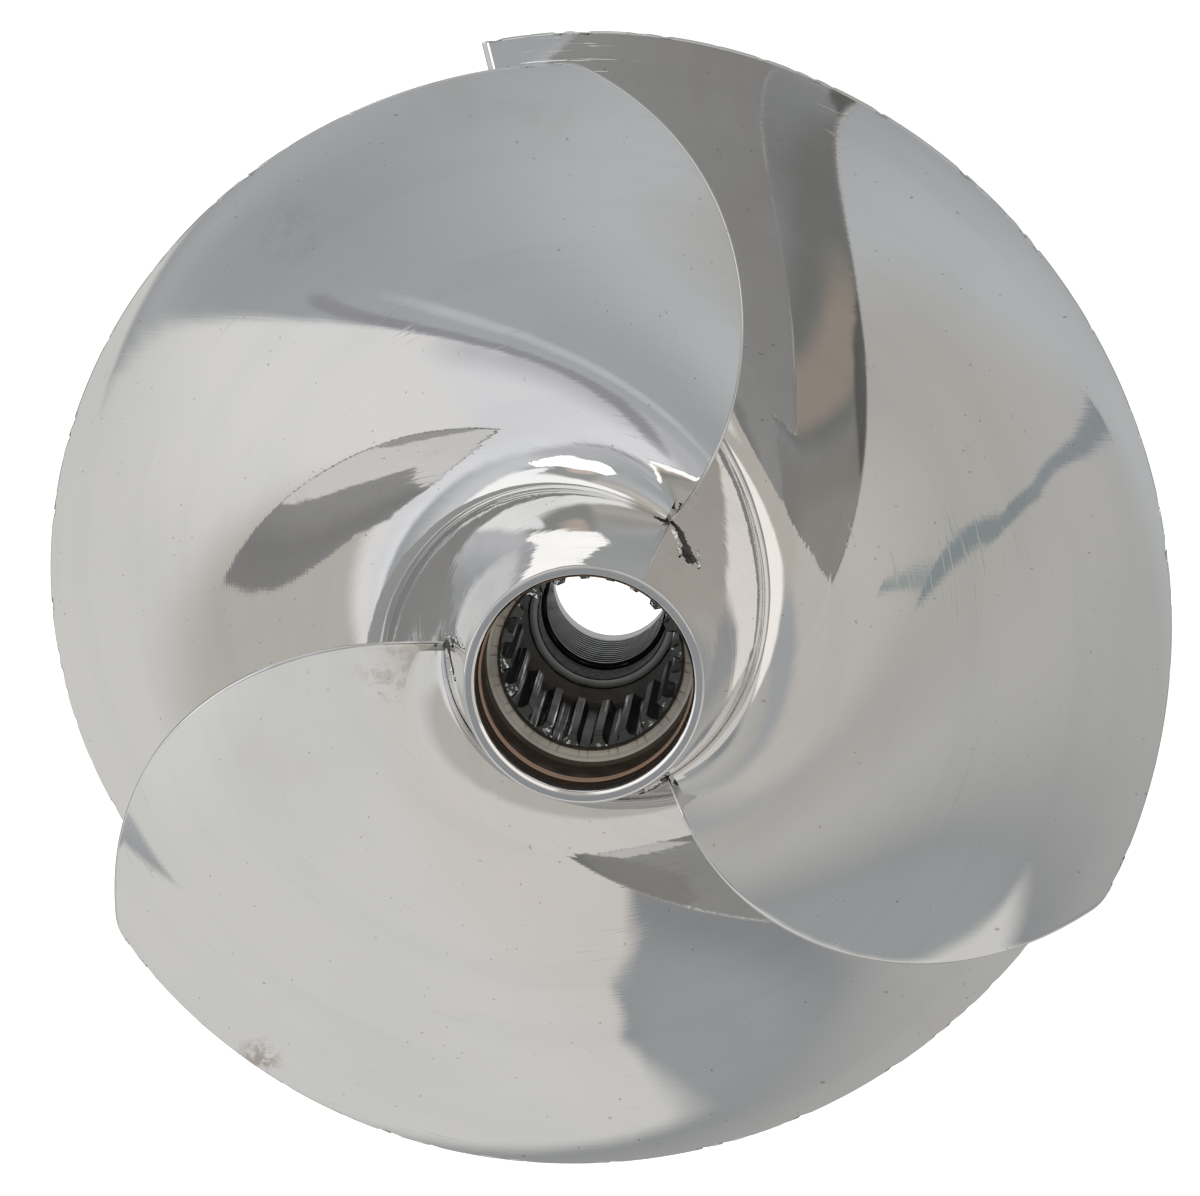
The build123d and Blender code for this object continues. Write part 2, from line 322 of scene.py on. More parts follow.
def polished_steel(name, tint, wave, rough_low, rough_high, along_chord=False, marks=()):
    """Hand-polished stainless steel: fine scratches, faint stains and pits; marks are brown stains."""
    material, g = new_material(name)
    coordinates = g.put("ShaderNodeTexCoord")
    place = coordinates.outputs["Object"]
    patches = g.noise(place, 22.0, detail=4.0, roughness=0.6)
    cloud = g.noise(place, 70.0, detail=3.0, roughness=0.55, distortion=0.4)
    # polishing lines: one family along the blade's chord or round the hub, one crossing it
    if along_chord:
        lines = g.noise(g.stretched(coordinates.outputs["UV"], (70.0, 3000.0, 1.0)), 1.0, detail=2.0)
        bands = g.noise(g.stretched(coordinates.outputs["UV"], (16.0, 170.0, 1.0)), 1.0, detail=3.0)
    else:
        x, y, z = g.put("ShaderNodeSeparateXYZ", {0: place}).outputs
        radius = g.math("SQRT", g.math("ADD", g.math("MULTIPLY", x, x), g.math("MULTIPLY", y, y)))
        across = g.math("ADD", radius, z)
        circle = (g.math("DIVIDE", x, radius), g.math("DIVIDE", y, radius))
        ring = g.put("ShaderNodeCombineXYZ", {0: circle[0], 1: circle[1], 2: across}).outputs[0]
        lines = g.noise(g.stretched(ring, (2.5, 2.5, 2600.0)), 1.0, detail=2.0)
        bands = g.noise(g.stretched(ring, (1.4, 1.4, 420.0)), 1.0, detail=3.0, distortion=0.6)
    cross = g.noise(g.stretched(place, (160.0, 3100.0, 260.0), (0.0, 0.0, 0.55)), 1.0, detail=1.0)
    strong = g.math("MULTIPLY", g.ramp(lines, 0.60, 0.74), g.ramp(cloud, 0.42, 0.62))
    scratch = g.math("ADD", g.math("MULTIPLY", lines, 0.6), g.math("MULTIPLY", cross, 0.4))
    stain = g.math("MULTIPLY", g.ramp(patches, 0.56, 0.72), g.ramp(cloud, 0.45, 0.65))
    pits = g.ramp(g.noise(place, 1500.0, detail=0.0), 0.845, 0.86)
    dulled = rgb(tint[0] * 0.965, tint[1] * 0.97, tint[2] * 0.975)
    base = g.mix(g.ramp(patches, 0.35, 0.65), rgb(*tint), dulled)
    base = g.mix(g.math("MULTIPLY", g.ramp(bands, 0.45, 0.65), 0.10), base, rgb(0.52, 0.53, 0.55))
    base = g.mix(g.math("MULTIPLY", stain, 0.20), base, rgb(0.55, 0.47, 0.41))
    base = g.mix(g.math("MULTIPLY", strong, 0.14), base, rgb(0.45, 0.45, 0.45))
    base = g.mix(g.math("MULTIPLY", pits, 0.45), base, rgb(0.22, 0.21, 0.2))
    rough = g.ramp(scratch, 0.3, 0.75, rough_low, rough_high)
    rough = g.math("ADD", rough, g.math("MULTIPLY", stain, 0.04))
    for centre, size, strength in marks:
        gap = g.put("ShaderNodeVectorMath", {0: place, 1: [c * MM for c in centre]}, operation="DISTANCE")
        near = g.ramp(gap.outputs["Value"], size * MM, size * 0.2 * MM)
        mottle = g.ramp(g.noise(place, 420.0, detail=5.0, roughness=0.75), 0.46, 0.60)
        spot = g.math("MULTIPLY", g.math("MULTIPLY", near, mottle), strength)
        base = g.mix(spot, base, rgb(0.30, 0.24, 0.19))
        rough = g.math("ADD", rough, g.math("MULTIPLY", spot, 0.25))
    slow = g.noise(place, 60.0, detail=2.0, distortion=0.3)
    height = g.math("ADD", g.math("MULTIPLY", scratch, 0.003), g.math("MULTIPLY", slow, wave))
    height = g.math("SUBTRACT", height, g.math("MULTIPLY", g.math("ADD", strong, pits), 0.004))
    if not along_chord:
        height = g.math("ADD", height, g.math("MULTIPLY", bands, 0.035))
    close_metal(g, base, rough, height, bump=0.35, distance=0.002)
    return material


def turned_steel(name, tint, rough, stain, stain_share=0.3, line_share=0.5, metallic=1.0):
    """Lathe-turned or ground steel: rings of fine marks round Z with soft stains."""
    material, g = new_material(name)
    place = g.put("ShaderNodeTexCoord").outputs["Object"]
    x, y, z = g.put("ShaderNodeSeparateXYZ", {0: place}).outputs
    radius = g.math("SQRT", g.math("ADD", g.math("MULTIPLY", x, x), g.math("MULTIPLY", y, y)))
    ring = g.put("ShaderNodeCombineXYZ", {0: radius, 1: z, 2: 0.0}).outputs[0]
    marks = g.noise(ring, 2500.0, detail=3.0, roughness=0.7)
    cloud = g.noise(place, 160.0, detail=4.0, roughness=0.6)
    fine = g.noise(place, 1400.0, detail=2.0)
    base = g.mix(g.math("MULTIPLY", marks, line_share), rgb(*tint), rgb(*(c * 0.45 for c in tint)))
    base = g.mix(g.math("MULTIPLY", g.ramp(cloud, 0.45, 0.7), stain_share), base, rgb(*stain))
    rough_out = g.ramp(marks, 0.3, 0.7, rough * 0.8, rough * 1.25)
    rough_out = g.math("ADD", rough_out, g.math("MULTIPLY", fine, 0.06))
    height = g.math("ADD", g.math("MULTIPLY", marks, 0.03), g.math("MULTIPLY", fine, 0.02))
    close_metal(g, base, rough_out, height, bump=0.4, distance=0.001, metallic=metallic)
    return material


def scored_steel(name):
    """Dark broached steel with bright score lines along Z."""
    material, g = new_material(name)
    place = g.put("ShaderNodeTexCoord").outputs["Object"]
    lines = g.noise(g.stretched(place, (2300.0, 2300.0, 22.0)), 1.0, detail=2.0, roughness=0.6)
    broad = g.noise(g.stretched(place, (420.0, 420.0, 40.0)), 1.0, detail=2.0)
    cloud = g.noise(place, 240.0, detail=4.0, roughness=0.65)
    bright = g.math("MULTIPLY", g.ramp(lines, 0.53, 0.62), g.ramp(broad, 0.44, 0.56))
    base = g.mix(cloud, rgb(0.07, 0.075, 0.07), rgb(0.17, 0.175, 0.165))
    base = g.mix(bright, base, rgb(0.86, 0.87, 0.88))
    rough = g.math("SUBTRACT", g.ramp(cloud, 0.3, 0.7, 0.42, 0.55), g.math("MULTIPLY", bright, 0.22))
    height = g.math("ADD", g.math("MULTIPLY", lines, 0.04), g.math("MULTIPLY", cloud, 0.03))
    close_metal(g, base, rough, height, bump=0.5, distance=0.001)
    return material


def matte_black(name, shine=0.5):
    material, g = new_material(name)
    place = g.put("ShaderNodeTexCoord").outputs["Object"]
    grain = g.noise(place, 1800.0, detail=3.0)
    cloud = g.noise(place, 150.0, detail=3.0)
    base = g.mix(cloud, rgb(0.012, 0.014, 0.012), rgb(0.035, 0.04, 0.035))
    rough = g.ramp(grain, 0.3, 0.7, 0.45, 0.65)
    close_metal(g, base, rough, grain, bump=0.2, distance=0.0002, metallic=0.0, shine=shine)
    return material


# brown stains on the blades: centre, radius and strength
BLADE_MARKS = (
    ((-47.0, -61.0, 46.0), 4.5, 0.6),
    ((-27.0, -3.0, 60.0), 7.0, 0.3),
    ((-42.0, 54.0, 40.0), 7.0, 0.14),
)
steel = polished_steel(
    "polished_steel", (0.735, 0.73, 0.72), 0.055, 0.015, 0.05, along_chord=True, marks=BLADE_MARKS
)
hub_steel = polished_steel("polished_hub_steel", (0.74, 0.735, 0.725), 0.16, 0.02, 0.06)
weld_steel = polished_steel("polished_weld_steel", (0.74, 0.735, 0.725), 0.2, 0.02, 0.07)
spline_steel = scored_steel("scored_spline_steel")
face_steel = turned_steel("sleeve_face_steel", (0.70, 0.66, 0.59), 0.36, stain=(0.25, 0.18, 0.14))
ground_steel = turned_steel(
    "ground_steel", (0.42, 0.435, 0.43), 0.34, stain=(0.3, 0.29, 0.28), stain_share=0.2
)
# bright bronze for the ring's crown; its brightness is a painted highlight
highlit_bronze = turned_steel(
    "bronze_painted_highlight", (0.95, 0.67, 0.50), 0.34, stain=(0.55, 0.36, 0.25), line_share=0.2, metallic=0.2
)
relief_steel = turned_steel("brown_relief_steel", (0.25, 0.165, 0.125), 0.45, stain=(0.10, 0.07, 0.055))
stop_steel = turned_steel("stop_ring_steel", (0.66, 0.67, 0.65), 0.32, stain=(0.35, 0.33, 0.31))
# near-black laid on the thread's valleys, its undercut and the stop ring's bore: painted shade in those
# recesses
recess_shade = matte_black("painted_shade_black", shine=0.1)
# near-black for strips laid on the hub at the leading edges' roots: painted shade of their crevices
crevice_shade = turned_steel(
    "painted_crevice_shade", (0.10, 0.10, 0.095), 0.5, stain=(0.03, 0.028, 0.025), stain_share=0.6
)
# dark brown for the carrier band, also used as painted shade on the bronze ring's flanks
brown_and_shade = turned_steel(
    "browned_steel", (0.30, 0.225, 0.175), 0.4, stain=(0.13, 0.085, 0.06), stain_share=0.4
)
rubber = matte_black("black_rubber")


# ---- hub ----
def hub_outline():
    lip, groove, boss = 14.35, 15.25, 18.0
    outer = list(hub_curve[3:-3])
    bell = [p for p in smooth_curve(BELL_POINTS, 60) if 0.8 < p[1] < 33.6]
    top = softened(
        [
            (lip + 0.4, NOSE_HEIGHT, 0.0),
            (HUB_POINTS[0][0] + 0.02, NOSE_HEIGHT, 0.33),
            (outer[0][0], outer[0][1], 0.0),
        ]
    )[1:-1]
    rim = softened(
        [
            (outer[-1][0], outer[-1][1], 0.0),
            (41.45, 0.0, 0.4),
            (37.2, 0.0, 0.4),
            (bell[0][0], bell[0][1], 0.0),
        ]
    )[1:-1]
    inside = softened(
        [
            (bell[-1][0], bell[-1][1], 0.0),
            (22.3, 36.0, 1.6),
            (boss, 36.0, 1.6),
            (boss, 4.4, 0.4),
            (SOCKET_RADIUS, 4.4, 0.0),
            (SOCKET_RADIUS, 79.9, 0.0),
            (groove, 79.9, 0.0),
            (groove, 84.1, 0.0),
            (lip, 84.1, 0.1),
            (lip, 85.1, 0.05),
            (lip + 0.4, NOSE_HEIGHT, 0.05),
        ]
    )[1:]
    return np.array(list(top) + outer + list(rim) + bell + list(inside))


revolved("hub_body", hub_outline(), hub_steel, ("hub_shell",), segments=288)


# ---- blades ----
def corner_arc():
    """Centre angle and tangent radius of the arc that rounds the leading edge into the tip."""
    centre_radius = TIP_RADIUS - TIP_CORNER
    radii = np.linspace(55.0, TIP_RADIUS, 900)
    edge = on_circle(radii, leading_angle(radii), 0.0)
    low, high = float(leading_angle(TIP_RADIUS)), float(leading_angle(TIP_RADIUS)) + 20.0
    for _ in range(50):
        middle = (low + high) / 2
        gap = np.linalg.norm(edge - on_circle(centre_radius, middle, 0.0), axis=1)
        if gap.min() < TIP_CORNER:
            low = middle
        else:
            high = middle
    return high, float(radii[gap.argmin()])


ARC_ANGLE, ARC_START = corner_arc()


def trimmed_start(radius):
    """Angle at which the blade starts at a radius, with its tip corner rounded."""
    radius = np.asarray(radius, float)
    centre = TIP_RADIUS - TIP_CORNER
    cosine = (radius**2 + centre**2 - TIP_CORNER**2) / (2 * radius * centre)
    rounded = ARC_ANGLE - np.degrees(np.arccos(np.clip(cosine, -1, 1)))
    return np.where(radius > ARC_START, np.maximum(rounded, leading_angle(radius)), leading_angle(radius))


# blade mesh: the leading edge's rounding, the tip's bevel and the grid's size
EDGE_ROUND = 0.55
EDGE_COLUMNS = 7
MAIN_COLUMNS = 190
TIP_BEVEL = 0.14
MAIN_ROWS = 74
NICK_DEPTH = 0.16
NICK_RARITY = 0.7
# about how far a blade falls over its chord, and how deep its root goes into the hub
CHORD_DROP = 42.0
ROOT_BURY = 0.9


def column_angle(radius, column):
    """Angle of a grid column, crowded at the leading edge to round it."""
    start = trimmed_start(radius)
    sweep = TRAILING_ANGLE - start
    length = np.hypot(np.radians(sweep) * radius, CHORD_DROP)
    turn = np.clip(column / EDGE_COLUMNS, 0, 1) * math.pi / 2
    near = EDGE_ROUND * (1 - np.cos(turn)) / length
    main = np.clip((column - EDGE_COLUMNS) / MAIN_COLUMNS, 0, 1)
    last = np.clip(column - EDGE_COLUMNS - MAIN_COLUMNS, 0, 1)
    end = 1 - TIP_BEVEL / length
    share = near + (end - EDGE_ROUND / length) * main + (1 - end) * last
    return start + sweep * share


def blade_mesh():
    columns = np.arange(EDGE_COLUMNS + MAIN_COLUMNS + 2)
    low = np.full(len(columns), HUB_POINTS[0][0])
    high = np.full(len(columns), HUB_POINTS[-1][0])
    for _ in range(40):
        middle = (low + high) / 2
        inside = middle < hub_radius(front_height(middle, column_angle(middle, columns)))
        low, high = np.where(inside, middle, low), np.where(inside, high, middle)
    inner = high - ROOT_BURY
    rows = np.concatenate((1 - (1 - np.linspace(0, 1, MAIN_ROWS)) ** 1.5, [1.0]))
    outer = TIP_RADIUS - TIP_BEVEL
    radius = inner[None, :] + (outer - inner[None, :]) * rows[:, None]
    radius[-1] = TIP_RADIUS
    # small nicks along the tip
    nicks = np.clip(np.random.default_rng(5).normal(0, 1, len(columns)) - NICK_RARITY, 0, None) * NICK_DEPTH
    radius[-2:] -= nicks
    angle = column_angle(radius, columns[None, :])
    turn = np.clip(columns / EDGE_COLUMNS, 0, 1) * math.pi / 2
    across = np.sin(turn)
    across[-1] = 0.72
    factor = np.repeat(across[None, :], len(rows), axis=0)
    factor[-1] *= 0.86
    middle = face_height(radius, angle, 0.5)
    half = thickness(radius, angle) / 2 * factor
    front = on_circle(radius, angle, middle + half)
    back = on_circle(radius, angle, middle - half)
    n, m = radius.shape
    count = n * m
    faces = grid_faces(n, m) + grid_faces(n, m, offset=count, flip=True)
    for i in range(n - 1):
        a, b = i * m + m - 1, (i + 1) * m + m - 1
        faces.append((a, a + count, b + count, b))
    for j in range(m - 1):
        a, b = (n - 1) * m + j, (n - 1) * m + j + 1
        faces.append((a, b, b + count, a + count))
        faces.append((j, j + count, j + 1 + count, j + 1))
    grain = np.stack((np.radians(angle) * radius, radius), -1)
    return np.concatenate((front.reshape(-1, 3), back.reshape(-1, 3))), faces, np.concatenate((grain, grain))


blade_points, blade_faces, blade_grain = blade_mesh()
for number in range(BLADE_COUNT):
    add_piece(
        f"swirl_blade_{number + 1}",
        blade_points,
        blade_faces,
        steel,
        (f"blade_{number + 1}",),
        turn=BLADE_TURN * number,
        sharp=50.0,
        merge=True,
        uv=blade_grain,
    )


# ---- weld fillets ----
def weld_leg(angle):
    middle = (WELD_START + WELD_END) / 2
    reach = (angle - middle) / (WELD_END - middle)
    return WELD_END_LEG + (WELD_LEG - WELD_END_LEG) * (1 - np.abs(reach) ** 4)


def weld_surface(angle, share, depth):
    """Point of the fillet at an angle; share runs from the hub at 0 to the blade at 1."""
    side = 1.0 if depth == 0 else -1.0
    leg = weld_leg(angle)
    root = root_radius_at(angle, depth)
    root_z = face_height(root, angle, depth)
    hub_z = np.minimum(root_z + side * leg * 0.97, NOSE_HEIGHT)
    hub_r = hub_radius(hub_z)
    slope_hub = hub_radius(hub_z + 0.05) - hub_radius(hub_z - 0.05)
    hub_dir = np.stack((-side * slope_hub, np.full_like(angle, -side * 0.1)), -1)
    hub_dir /= np.linalg.norm(hub_dir, axis=-1, keepdims=True)
    reach = leg * (WELD_FRONT_SPREAD if depth == 0 else 1.0)
    blade_r = root + reach * 0.9
    blade_z = face_height(blade_r, angle, depth)
    slope_blade = face_height(blade_r + 0.05, angle, depth) - face_height(blade_r - 0.05, angle, depth)
    blade_dir = np.stack((np.full_like(angle, -0.1), -slope_blade), -1)
    blade_dir /= np.linalg.norm(blade_dir, axis=-1, keepdims=True)
    p0, p3 = np.stack((hub_r, hub_z), -1), np.stack((blade_r, blade_z), -1)
    p1, p2 = p0 + hub_dir * (leg * 0.6)[..., None], p3 + blade_dir * (reach * 0.42)[..., None]
    s = np.asarray(share, float)[..., None]
    p = (1 - s) ** 3 * p0 + 3 * s * (1 - s) ** 2 * p1 + 3 * s**2 * (1 - s) * p2 + s**3 * p3
    return on_circle(p[..., 0], angle, np.maximum(p[..., 1], 0.0))


def weld_mesh():
    stations = np.linspace(WELD_START - 1.5, WELD_END + 1.0, 150)
    shares = np.linspace(0, 1, 30)
    points, faces, offset = [], [], 0
    for depth in (0, 1):
        angle, share = np.meshgrid(stations, shares, indexing="ij")
        surface = weld_surface(angle, share, depth)
        # the outline closes behind the surface, inside the hub and blade
        root = root_radius_at(stations, depth)
        behind = on_circle(root - 0.5, stations, np.maximum(face_height(root, stations, 0.5), 0.0))
        block = np.concatenate((surface, behind[:, None, :]), axis=1)
        n, m = block.shape[:2]
        points.append(block.reshape(-1, 3))
        faces += grid_faces(n, m, offset=offset, wrap=True)
        faces.append(tuple(offset + j for j in range(m)))
        faces.append(tuple(offset + (n - 1) * m + j for j in reversed(range(m))))
        offset += n * m
    return np.concatenate(points), faces


weld_points, weld_faces = weld_mesh()
for number in range(BLADE_COUNT):
    add_piece(
        f"root_fillet_{number + 1}",
        weld_points,
        weld_faces,
        weld_steel,
        (f"root_weld_{number + 1}",),
        turn=BLADE_TURN * number,
        sharp=50.0,
    )


# ---- torn metal where each leading edge meets the hub: bright burrs, and dark strips of painted shade in its crevices ----
STRIP_PROFILE = ((-1.0, -0.12), (-0.55, 0.6), (0.0, 1.0), (0.55, 0.6), (1.0, -0.12))


def tear(path, lift, seed):
    """A jagged strip on the hub; the path is (angle, height, half width), its sides sink into the hub."""
    rng = np.random.default_rng(seed)
    path = np.array(path, float)
    steps = np.linspace(0, len(path) - 1, 10 * (len(path) - 1) + 1)
    angle, z, half = (np.interp(steps, np.arange(len(path)), path[:, k]) for k in range(3))
    radius = hub_radius(z)
    along = np.stack((np.gradient(np.radians(angle) * radius), np.gradient(z)), -1)
    along /= np.linalg.norm(along, axis=1, keepdims=True) + 1e-9
    z = z + rng.normal(0, 0.10, len(z))
    angle = angle + rng.normal(0, 0.25, len(z))
    rows = []
    for side, rise in STRIP_PROFILE:
        reach = side * half * rng.uniform(0.6, 1.4, len(z))
        height = z + along[:, 0] * reach
        turn = angle - np.degrees(along[:, 1] * reach / radius)
        out = rise * lift * rng.uniform(0.5, 1.5, len(z))
        rows.append(on_circle(hub_radius(height) + np.maximum(out, -0.1), turn, height))
    return np.stack(rows, 1)


def torn_root(name, strips, lift, material, turn, seed):
    points, faces, offset = [], [], 0
    for number, path in enumerate(strips):
        rows = tear(path, lift, seed + number)
        n, m = rows.shape[:2]
        points.append(rows.reshape(-1, 3))
        faces += grid_faces(n, m, offset=offset)
        offset += n * m
    add_piece(name, np.concatenate(points), faces, material, turn=turn, sharp=25.0)


# one group of dark strips for each blade, painted shade in the root crevices: (angle, height, half width)
# along each strip
CREVICE_SHADES = (
    (
        ((61.0, 59.8, 0.4), (63.5, 60.6, 0.5), (66.0, 60.6, 0.15)),
        ((59.0, 59.0, 0.5), (54.5, 60.6, 0.8), (50.5, 63.2, 0.9), (47.0, 66.4, 1.9), (46.0, 68.4, 0.3)),
    ),
    (
        ((60.0, 59.0, 0.5), (56.5, 63.5, 0.7), (58.6, 67.0, 0.45), (63.5, 72.0, 0.15)),
        ((58.0, 60.5, 0.5), (53.0, 66.0, 0.55), (48.5, 73.0, 0.5), (47.5, 79.0, 0.15)),
    ),
    (
        ((61.0, 63.5, 0.6), (57.0, 57.0, 0.8), (53.0, 50.5, 0.8), (47.5, 43.0, 0.5), (43.0, 41.0, 0.15)),
    ),
)
BURRS = (
    (
        ((57.0, 62.0, 0.25), (52.5, 65.0, 0.35), (49.8, 68.8, 0.15)),
        ((44.8, 62.2, 0.2), (42.0, 64.5, 0.3), (40.5, 66.5, 0.1)),
    ),
    (
        ((56.0, 60.5, 0.3), (52.5, 65.5, 0.45), (53.0, 70.0, 0.2)),
        ((59.5, 63.0, 0.3), (61.5, 68.5, 0.4), (65.5, 73.5, 0.15)),
        ((50.5, 69.0, 0.25), (46.5, 76.0, 0.35), (46.0, 81.5, 0.1)),
    ),
    (
        ((58.5, 63.0, 0.25), (54.5, 56.5, 0.35), (50.0, 49.0, 0.3), (45.0, 43.5, 0.1)),
    ),
)
for number in range(BLADE_COUNT):
    turn = BLADE_TURN * number
    # dark strips of painted crevice shade, then bright raised burrs
    torn_root(f"root_crevice_shade_{number + 1}", CREVICE_SHADES[number], 0.12, crevice_shade, turn, 11 + 10 * number)
    torn_root(f"root_burr_{number + 1}", BURRS[number], 0.26, weld_steel, turn, 41 + 10 * number)

# ---- rings behind the mouth's lip ----
revolved(
    "o_ring_black",
    softened([(15.2, 84.05, 0.0), (15.2, 79.95, 0.0), (14.5, 79.95, 0.5), (14.5, 84.05, 0.5)]),
    rubber,
    ("mouth_o_ring",),
)
crown = [(14.5 - 0.55 * math.sin(math.pi * k / 12), 79.9 - 3.5 * k / 12) for k in range(13)]
crown += [(SEAT_RADIUS, 76.4), (SEAT_RADIUS, 79.9)]
bronze_ring = revolved("bronze_ring_painted_light", crown, highlit_bronze, ("bronze_ring",), sharp=50.0)
bronze_ring.data.materials.append(brown_and_shade)
for polygon in bronze_ring.data.polygons:
    # only the crown gets the bright bronze, a painted highlight; the flanks get the dark brown, painted
    # shade
    if not 77.1 * MM < polygon.center.z < 79.3 * MM:
        polygon.material_index = 1
revolved(
    "carrier_band",
    softened([(SEAT_RADIUS, 76.35, 0.0), (SEAT_RADIUS, 69.0, 0.0), (14.2, 69.0, 0.25), (14.2, 76.35, 0.25)]),
    brown_and_shade,
    ("ring_carrier",),
)


# ---- splined sleeve ----
TEETH = 20
TOOTH_PHASE = 4.5
ROOT_R, TIP_R = 12.1, 10.65


def tooth_radius(angle):
    """Inner radius of the toothed bore: straight flanks with small corner rounding."""
    pitch = 360.0 / TEETH
    away = np.abs((angle - TOOTH_PHASE + pitch / 2) % pitch - pitch / 2)
    half_tip = math.degrees(1.1 / 2 / TIP_R)
    half_root = math.degrees(2.5 / 2 / ROOT_R)
    flank = np.clip((away - half_tip) / (half_root - half_tip), 0, 1)
    return TIP_R + (ROOT_R - TIP_R) * flank


def sleeve_angles():
    """Angles that fall on the corners of every tooth."""
    half_tip = math.degrees(1.1 / 2 / TIP_R)
    half_root = math.degrees(2.5 / 2 / ROOT_R)
    pitch = 360.0 / TEETH
    flank = [half_tip, half_tip + 0.25, half_root - 0.25, half_root]
    marks = [-angle for angle in reversed(flank)] + [0.0] + flank
    gap = np.linspace(half_root, pitch - half_root, 5)[1:-1]
    one = np.array(marks + list(gap))
    return np.concatenate([TOOTH_PHASE + k * pitch + one for k in range(TEETH)])


def sleeve_mesh():
    angles = sleeve_angles()
    teeth = tooth_radius(angles)
    outside = [(SEAT_RADIUS, 32.0), (SEAT_RADIUS, 66.6)]
    face = [(13.9, 67.6), (12.6, 66.93), (12.45, 66.75), (ROOT_R + 0.05, 66.2)]
    points = [on_circle(np.full_like(angles, r), angles, z) for r, z in outside + face]
    for z in (66.15, 66.05, 65.95, 65.85, 65.78):
        points.append(on_circle(np.maximum(teeth, ROOT_R - (66.2 - z) * 4.0), angles, z))
    for z in np.linspace(64.9, 41.2, 9):
        points.append(on_circle(teeth, angles, z))
    for z in (41.0, 40.75, 40.5):
        points.append(on_circle(np.maximum(teeth, ROOT_R - (z - 40.3) * 2.2), angles, z))
    for r, z in ((12.9, 40.3), (12.9, 32.0)):
        points.append(on_circle(np.full_like(angles, r), angles, z))
    n, m = len(points), len(angles)
    faces = grid_faces(n + 1, m, wrap=True)
    faces = [tuple(v % (n * m) for v in face) for face in faces]
    return np.concatenate(points), faces


sleeve_points, sleeve_faces = sleeve_mesh()
sleeve = add_piece(
    "spline_sleeve_cut",
    sleeve_points,
    sleeve_faces,
    spline_steel,
    ("splined_sleeve",),
    sharp=28.0,
)
sleeve.data.materials.append(face_steel)
sleeve.data.materials.append(relief_steel)
for polygon in sleeve.data.polygons:
    heights = [sleeve.data.vertices[v].co.z for v in polygon.vertices]
    if min(heights) > 66.1 * MM and max(reaches(sleeve, polygon)) > 12.3 * MM:
        polygon.material_index = 1
    elif max(heights) < 41.3 * MM:
        polygon.material_index = 2

# ---- stop ring ----
STOP_OUTLINE = (
    (8.85, 35.5, 0.3),
    (8.85, 28.62, 0.0),
    (SEAT_RADIUS, 28.62, 0.0),
    (SEAT_RADIUS, 31.98, 0.0),
    (10.3, 31.98, 0.1),
    (10.3, 35.5, 0.3),
)
stop = revolved(
    "stop_ring_turned",
    softened(STOP_OUTLINE),
    stop_steel,
    ("stop_ring",),
)
stop.data.materials.append(recess_shade)
# the stop ring's bore gets the near-black: painted shade
for polygon in stop.data.polygons:
    if max(reaches(stop, polygon)) < 8.9 * MM:
        polygon.material_index = 1


# ---- threaded sleeve ----
THREAD_PITCH = 1.5
THREAD_MINOR, THREAD_MAJOR = 8.19, 8.98


def thread_mesh():
    """Bore with a real helical thread, an undercut and a plain pilot, inside a plain sleeve."""
    segments = 160
    turns = np.arange(segments) * 360.0 / segments
    points = [on_circle(SEAT_RADIUS, turns, 28.58), on_circle(9.2, turns, 28.58)]
    for z in np.linspace(28.1, 9.7, 260):
        phase = (z / THREAD_PITCH - turns / 360.0) % 1.0
        depth = np.clip(1.0 - np.abs(phase - 0.5) / 0.40, 0, 1)
        run_out = min(1.0, (28.3 - z) / 0.8, (z - 9.5) / 0.8)
        minor = THREAD_MINOR + max(0.0, 0.8 - (28.1 - z)) * 0.9
        cut = THREAD_MINOR + (THREAD_MAJOR - THREAD_MINOR) * depth * run_out
        points.append(on_circle(np.maximum(cut, minor), turns, z))
    undercut = [(9.15, 9.65), (9.15, 9.05), (8.35, 9.0)]
    pilot = [(8.3, 8.9), (8.3, 5.0), (8.9, 4.4), (SEAT_RADIUS, 4.4)]
    for r, z in undercut + pilot:
        points.append(on_circle(r, turns, z))
    n, m = len(points), segments
    faces = [tuple(v % (n * m) for v in face) for face in grid_faces(n + 1, m, wrap=True)]
    return np.concatenate(points), faces


thread_points, thread_faces = thread_mesh()
thread = add_piece(
    "thread_sleeve_cut",
    thread_points,
    thread_faces,
    ground_steel,
    ("threaded_sleeve",),
    sharp=38.0,
)
thread.data.materials.append(recess_shade)
# the thread's valleys and the undercut get the near-black: painted shade
for polygon in thread.data.polygons:
    reach = reaches(thread, polygon)
    if 8.62 * MM < min(reach) and max(reach) < 9.2 * MM:
        polygon.material_index = 1


# ---- floor, light and camera ----
def disc(name, radius, height, material):
    mesh = bpy.data.meshes.new(name)
    work = bmesh.new()
    place = Matrix.Translation((0, 0, height))
    bmesh.ops.create_circle(work, cap_ends=True, radius=radius, segments=64, matrix=place)
    work.to_mesh(mesh)
    work.free()
    mesh.materials.append(material)
    made = bpy.data.objects.new(name, mesh)
    bpy.context.scene.collection.objects.link(made)
    return made


